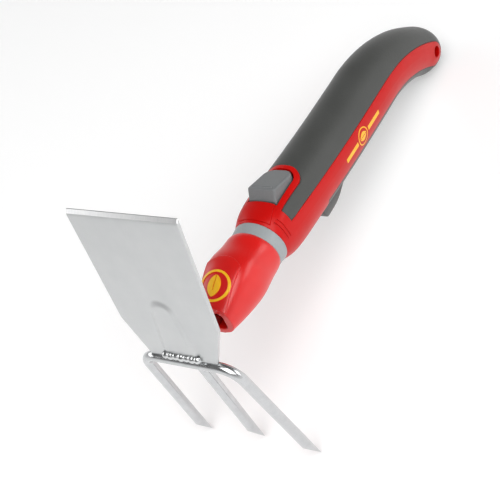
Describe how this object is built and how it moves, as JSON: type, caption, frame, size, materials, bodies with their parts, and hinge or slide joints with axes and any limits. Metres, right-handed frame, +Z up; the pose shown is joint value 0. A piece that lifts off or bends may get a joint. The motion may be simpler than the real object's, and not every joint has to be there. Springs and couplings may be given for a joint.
{
  "type": "hand weeder",
  "caption": "Hand weeder with a draw-hoe blade over a three-tine fork on a keyed spigot, held in an ergonomic grip by a push-button release.",
  "frame": {"origin": "on the floor under the middle of the overall box, on the tool's plane of symmetry", "axes": "+X along the tool from the tail to the head, +Z up from the floor on which the tine tips and the tail rest, +Y to the left when looking along +X"},
  "size_m": [0.2797, 0.0748, 0.1686],
  "materials": {
    "red_abs": "glossy moulded red",
    "soft_grip": "fine matt",
    "grey_pom": "satin moulded grey",
    "ring_grey": "satin moulded light grey",
    "black_nylon": "moulded matt",
    "zinc_steel": "satin zinc plated",
    "bright_steel": "bright plated",
    "spring_steel": "oiled",
    "badge_yellow": "glossy moulded yellow"
  },
  "bodies": {
    "handle": {"handle_shell_left": "red_abs", "handle_shell_right": "red_abs", "shell_screws": "bright_steel", "grip_upper": "soft_grip", "grip_lower": "soft_grip", "latch_cover": "red_abs", "receiver_sleeve": "black_nylon", "latch_spring": "spring_steel", "latch_screw": "bright_steel", "button_pin": "bright_steel", "button_spring": "spring_steel"},
    "button": {"release_button": "grey_pom"},
    "head": {"spigot": "black_nylon", "cross_pins": "bright_steel", "lock_ring": "ring_grey", "socket_body": "red_abs", "badge_pad": "red_abs", "badge_ring": "badge_yellow", "badge_leaf": "badge_yellow", "tang_tine": "bright_steel", "fork_rod": "bright_steel", "hoe_blade": "zinc_steel", "weld_front": "bright_steel", "weld_rear": "bright_steel"}
  },
  "joints": [
    {"name": "head_release", "type": "slide", "parent": "handle", "child": "head", "axis": [0.9843, 0, 0.1763], "range_m": [0, 0.056], "deforming": ["latch_spring"]},
    {"name": "button_press", "type": "hinge", "parent": "handle", "child": "button", "pos_m": [0.02423, 0, 0.07775], "axis": [0, 1, 0], "range_deg": [0, 8], "stiffness_Nm_per_rad": 0.3, "springref_deg": -5.73, "deforming": ["button_spring", "latch_spring"]}
  ]
}
